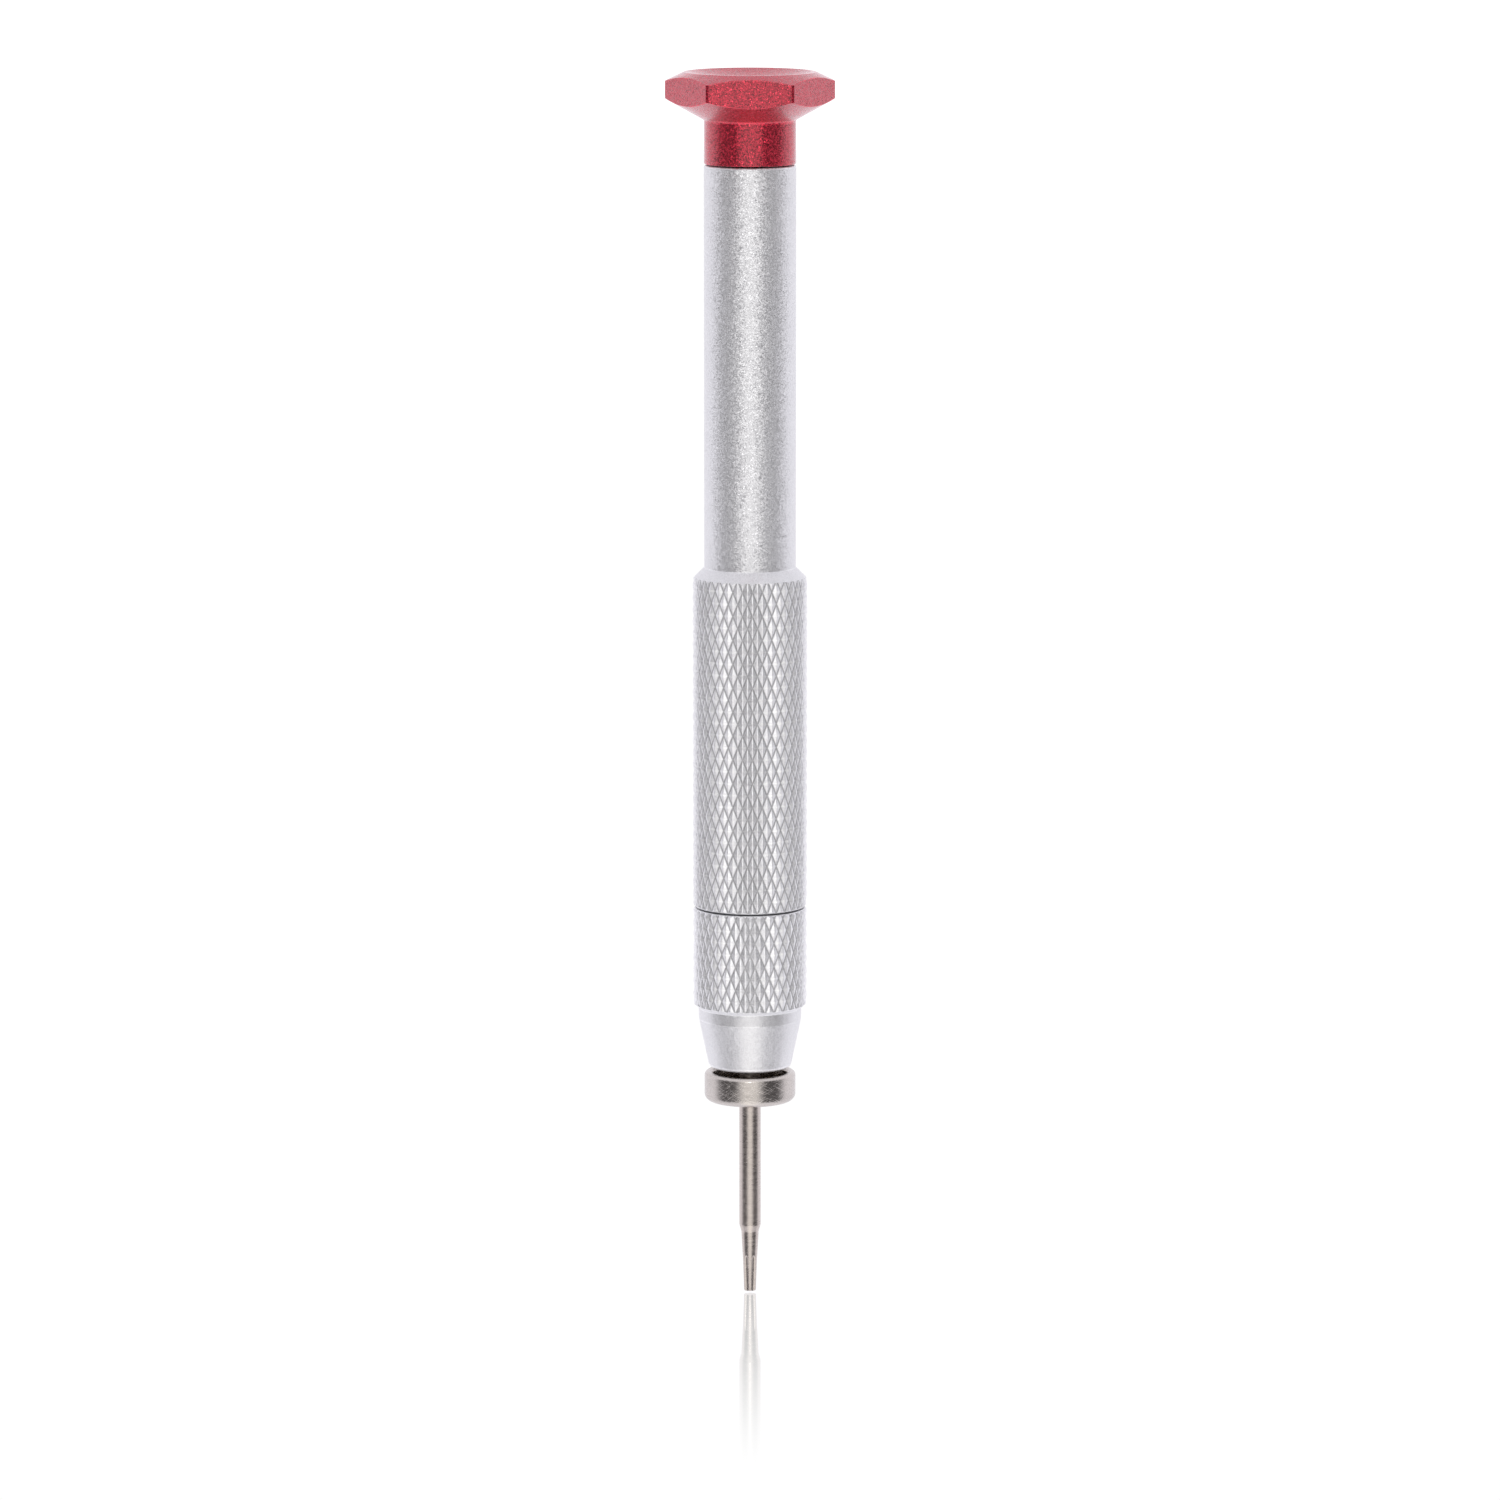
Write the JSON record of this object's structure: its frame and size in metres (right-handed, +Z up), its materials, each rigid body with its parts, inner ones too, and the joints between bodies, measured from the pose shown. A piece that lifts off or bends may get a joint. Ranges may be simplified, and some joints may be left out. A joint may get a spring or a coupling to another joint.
{
  "type": "watchmaker screwdriver",
  "caption": "Slim precision screwdriver with a free-turning dished cap with side flats, a knurled steel handle, a collet chuck with a conical nose, and a star-tipped blade.",
  "frame": {"origin": "centre of the blade's end face, on the driver's axis", "axes": "+Z up the axis from the blade tip to the cap; -Y is the outward normal of one of the cap's six side flats; +X runs to one of the cap's corners"},
  "size_m": [0.0162, 0.014, 0.1181],
  "materials": {
    "red_anodised": "bead-blasted and anodised red",
    "blasted_steel": "bead-blasted stainless steel",
    "nickel_plate": "satin nickel plating",
    "blade_steel": "polished hardened steel",
    "collet_brass": "turned",
    "black_rubber": "moulded",
    "bearing_steel": "ground and polished",
    "cage_bronze": "machined",
    "spring_steel": "drawn wire"
  },
  "bodies": {
    "blade": {"blade": "blade_steel", "blade_collar": "nickel_plate"},
    "collet": {"collet": "collet_brass", "collet_spring": "spring_steel"},
    "chuck_nut": {"chuck_nut": "blasted_steel", "chuck_o_ring": "black_rubber"},
    "handle": {"barrel": "blasted_steel", "pivot_screw": "blade_steel", "bearing_spacer": "blade_steel", "bearing_inner_race": "bearing_steel"},
    "swivel_cap": {"swivel_cap": "red_anodised", "bearing_outer_race": "bearing_steel", "bearing_shield_upper": "bearing_steel", "bearing_shield_lower": "bearing_steel"},
    "ball_train": {"bearing_ball_1": "bearing_steel", "bearing_ball_2": "bearing_steel", "bearing_ball_3": "bearing_steel", "bearing_ball_4": "bearing_steel", "bearing_ball_5": "bearing_steel", "bearing_ball_6": "bearing_steel", "bearing_ball_7": "bearing_steel", "bearing_cage": "cage_bronze"}
  },
  "joints": [
    {"name": "blade_release", "type": "slide", "parent": "blade", "child": "collet", "axis": [0, 0, 1], "range_m": [0, 0.018]},
    {"name": "chuck_nut_turn", "type": "hinge", "parent": "collet", "child": "chuck_nut", "pos_m": [0, 0, 0.03], "axis": [0, 0, -1], "range_deg": [0, 720]},
    {"name": "barrel_lift", "type": "slide", "parent": "collet", "child": "handle", "axis": [0, 0, 1], "range_m": [0, 0.001], "deforming": ["collet_spring"]},
    {"name": "cap_spin", "type": "hinge", "parent": "handle", "child": "swivel_cap", "pos_m": [0, 0, 0.1115], "axis": [0, 0, 1], "continuous": true},
    {"name": "ball_train_spin", "type": "hinge", "parent": "handle", "child": "ball_train", "pos_m": [0, 0, 0.1115], "axis": [0, 0, 1], "continuous": true}
  ],
  "couplings": [
    {"joint": "chuck_nut_turn", "follows": "barrel_lift", "rad_per_m": 12566},
    {"joint": "ball_train_spin", "follows": "cap_spin", "ratio": 0.62}
  ]
}
